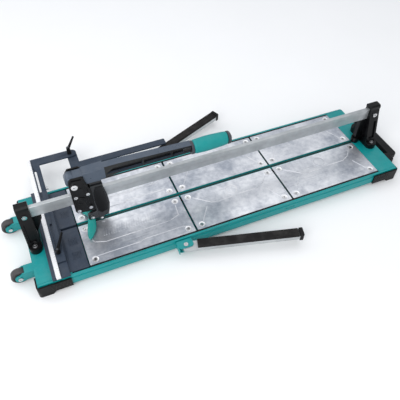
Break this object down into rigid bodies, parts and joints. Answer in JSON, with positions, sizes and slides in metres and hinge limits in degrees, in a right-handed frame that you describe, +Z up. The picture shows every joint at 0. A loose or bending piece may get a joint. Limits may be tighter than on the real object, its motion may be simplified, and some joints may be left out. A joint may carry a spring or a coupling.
{
  "type": "tile cutter",
  "caption": "Manual tile cutter: sprung table on a steel frame, scoring carriage with long handle on an overhead rail, fence with sliding stop, swing-out side supports and carrying wheels.",
  "frame": {"origin": "on the floor, under the middle of the overall box with the side supports at rest", "axes": "+X along the cutting line from the fence end to the carrying handle, +Y from the operator towards the far side, +Z up"},
  "size_m": [1.614, 0.7778, 0.324],
  "materials": {
    "teal_paint": "satin powder coat",
    "foot_paint": "satin paint on a casting",
    "strip_paint": "dark painted steel",
    "black_casting": "black coated casting",
    "slate_casting": "slate grey coated casting",
    "slate_coat": "slate grey coated bar",
    "pad_plastic": "textured slate grey",
    "black_plastic": "fine grained black",
    "black_rubber": "ribbed black",
    "plate_aluminium": "cast plate, matt",
    "rail_aluminium": "drawn, satin",
    "ruler_aluminium": "bright anodised",
    "bright_steel": "bright plated",
    "spring_rubber": "corrugated rubber spring",
    "roller_steel": "ground steel",
    "grip_rubber": "soft teal sleeve",
    "collar_plastic": "dark plastic",
    "wheel_plastic": "grey moulded wheel"
  },
  "bodies": {
    "frame": {"side_rail_front": "teal_paint", "side_rail_rear": "teal_paint", "end_plate_left": "teal_paint", "end_plate_right": "teal_paint", "cross_members": "teal_paint", "centre_beam": "strip_paint", "breaker_bar": "strip_paint", "rail_post_left": "black_casting", "rail_post_right": "black_casting", "guide_rail": "rail_aluminium", "frame_bolts": "bright_steel", "carry_handle": "black_plastic", "fence_body": "slate_coat", "fence_ruler": "ruler_aluminium", "corner_boot_front_left": "black_plastic", "corner_boot_rear_left": "black_plastic", "corner_boot_front_right": "black_plastic", "corner_boot_rear_right": "black_plastic", "end_pad_front": "pad_plastic", "wheel_bracket_front": "teal_paint", "arm_bracket_front": "teal_paint", "end_pad_rear": "pad_plastic", "wheel_bracket_rear": "teal_paint", "arm_bracket_rear": "teal_paint", "table_screws": "bright_steel", "table_springs": "spring_rubber", "arm_bolts": "bright_steel", "wheel_axles": "bright_steel"},
    "carriage": {"carriage_plate_front": "black_casting", "carriage_plate_rear": "black_casting", "carriage_bolts": "bright_steel"},
    "handle": {"handle_lever": "slate_casting", "handle_grip": "grip_rubber", "grip_collars": "collar_plastic", "head_pins": "bright_steel"},
    "scoring_wheel": {"scoring_wheel": "roller_steel"},
    "breaker_foot": {"breaker_foot": "foot_paint"},
    "stop_slide": {"stop_slide": "slate_coat"},
    "stop_arm": {"stop_arm": "slate_coat"},
    "stop_clamp_lever": {"stop_clamp_lever": "black_plastic"},
    "stop_thumb_screw": {"stop_thumb_screw": "bright_steel"},
    "fence_clamp_lever": {"fence_clamp_lever": "black_plastic"},
    "roller_1": {"guide_roller_1": "roller_steel"},
    "roller_2": {"guide_roller_2": "roller_steel"},
    "roller_3": {"guide_roller_3": "roller_steel"},
    "roller_4": {"guide_roller_4": "roller_steel"},
    "support_arm_front": {"arm_channel_front": "rail_aluminium", "arm_pad_front": "black_rubber", "arm_cap_front": "black_plastic"},
    "transport_wheel_front": {"transport_wheel_front": "wheel_plastic"},
    "plate_front_1": {"table_plate_front_1": "plate_aluminium"},
    "plate_front_2": {"table_plate_front_2": "plate_aluminium"},
    "plate_front_3": {"table_plate_front_3": "plate_aluminium"},
    "support_arm_rear": {"arm_channel_rear": "rail_aluminium", "arm_pad_rear": "black_rubber", "arm_cap_rear": "black_plastic"},
    "transport_wheel_rear": {"transport_wheel_rear": "wheel_plastic"},
    "plate_rear_1": {"table_plate_rear_1": "plate_aluminium"},
    "plate_rear_2": {"table_plate_rear_2": "plate_aluminium"},
    "plate_rear_3": {"table_plate_rear_3": "plate_aluminium"}
  },
  "joints": [
    {"name": "carriage_slide", "type": "slide", "parent": "frame", "child": "carriage", "axis": [1, 0, 0], "range_m": [-0.07, 1.01]},
    {"name": "roller_spin_1", "type": "hinge", "parent": "carriage", "child": "roller_1", "pos_m": [-0.523, -0.03059, 0.2383], "axis": [0, 1, 0], "continuous": true},
    {"name": "roller_spin_2", "type": "hinge", "parent": "carriage", "child": "roller_2", "pos_m": [-0.481, -0.03059, 0.2383], "axis": [0, 1, 0], "continuous": true},
    {"name": "roller_spin_3", "type": "hinge", "parent": "carriage", "child": "roller_3", "pos_m": [-0.523, -0.03059, 0.1697], "axis": [0, 1, 0], "continuous": true},
    {"name": "roller_spin_4", "type": "hinge", "parent": "carriage", "child": "roller_4", "pos_m": [-0.481, -0.03059, 0.1697], "axis": [0, 1, 0], "continuous": true},
    {"name": "handle_lift", "type": "hinge", "parent": "carriage", "child": "handle", "pos_m": [-0.519, -0.03059, 0.289], "axis": [0, -1, 0], "range_deg": [0, 24]},
    {"name": "scoring_wheel_spin", "type": "hinge", "parent": "handle", "child": "scoring_wheel", "pos_m": [-0.45, -0.03059, 0.0725], "axis": [0, 1, 0], "continuous": true},
    {"name": "breaker_tilt", "type": "hinge", "parent": "handle", "child": "breaker_foot", "pos_m": [-0.484, -0.03059, 0.102], "axis": [0, 1, 0], "range_deg": [-2.5, 2.5], "stiffness_Nm_per_rad": 3},
    {"name": "arm_swing_front", "type": "hinge", "parent": "frame", "child": "support_arm_front", "pos_m": [-0.205, -0.26059, 0.06], "axis": [0, 0, 1], "range_deg": [-75, 14.9]},
    {"name": "arm_swing_rear", "type": "hinge", "parent": "frame", "child": "support_arm_rear", "pos_m": [-0.205, 0.19941, 0.06], "axis": [0, 0, 1], "range_deg": [-23.2, 66.8]},
    {"name": "transport_wheel_spin_front", "type": "hinge", "parent": "frame", "child": "transport_wheel_front", "pos_m": [-0.777, -0.14559, 0.031], "axis": [0, 1, 0], "continuous": true},
    {"name": "transport_wheel_spin_rear", "type": "hinge", "parent": "frame", "child": "transport_wheel_rear", "pos_m": [-0.777, 0.08441, 0.031], "axis": [0, 1, 0], "continuous": true},
    {"name": "plate_float_front_1", "type": "slide", "parent": "frame", "child": "plate_front_1", "axis": [0, 0, 1], "range_m": [-0.003, 0], "stiffness_N_per_m": 8000, "springref_m": 0.004, "deforming": ["table_springs"]},
    {"name": "plate_float_front_2", "type": "slide", "parent": "frame", "child": "plate_front_2", "axis": [0, 0, 1], "range_m": [-0.003, 0], "stiffness_N_per_m": 8000, "springref_m": 0.004, "deforming": ["table_springs"]},
    {"name": "plate_float_front_3", "type": "slide", "parent": "frame", "child": "plate_front_3", "axis": [0, 0, 1], "range_m": [-0.003, 0], "stiffness_N_per_m": 8000, "springref_m": 0.004, "deforming": ["table_springs"]},
    {"name": "plate_float_rear_1", "type": "slide", "parent": "frame", "child": "plate_rear_1", "axis": [0, 0, 1], "range_m": [-0.003, 0], "stiffness_N_per_m": 8000, "springref_m": 0.004, "deforming": ["table_springs"]},
    {"name": "plate_float_rear_2", "type": "slide", "parent": "frame", "child": "plate_rear_2", "axis": [0, 0, 1], "range_m": [-0.003, 0], "stiffness_N_per_m": 8000, "springref_m": 0.004, "deforming": ["table_springs"]},
    {"name": "plate_float_rear_3", "type": "slide", "parent": "frame", "child": "plate_rear_3", "axis": [0, 0, 1], "range_m": [-0.003, 0], "stiffness_N_per_m": 8000, "springref_m": 0.004, "deforming": ["table_springs"]},
    {"name": "stop_slide_travel", "type": "slide", "parent": "frame", "child": "stop_slide", "axis": [0, 1, 0], "range_m": [-0.13, 0]},
    {"name": "stop_arm_swing", "type": "hinge", "parent": "stop_slide", "child": "stop_arm", "pos_m": [-0.486, 0.34141, 0.06], "axis": [0, 0, 1], "range_deg": [-30, 45]},
    {"name": "stop_clamp_turn", "type": "hinge", "parent": "stop_slide", "child": "stop_clamp_lever", "pos_m": [-0.486, 0.34141, 0.06], "axis": [0, 0, 1], "range_deg": [-90, 90]},
    {"name": "fence_clamp_turn", "type": "hinge", "parent": "frame", "child": "fence_clamp_lever", "pos_m": [-0.633, -0.13559, 0.06], "axis": [0, 0, 1], "range_deg": [-60, 40]},
    {"name": "thumb_screw_turn", "type": "hinge", "parent": "stop_slide", "child": "stop_thumb_screw", "pos_m": [-0.614, 0.18341, 0.0713], "axis": [1, 0, 0], "continuous": true}
  ],
  "couplings": [
    {"joint": "roller_spin_1", "follows": "carriage_slide", "rad_per_m": 100},
    {"joint": "roller_spin_2", "follows": "carriage_slide", "rad_per_m": 100},
    {"joint": "roller_spin_3", "follows": "carriage_slide", "rad_per_m": -100},
    {"joint": "roller_spin_4", "follows": "carriage_slide", "rad_per_m": -100}
  ]
}
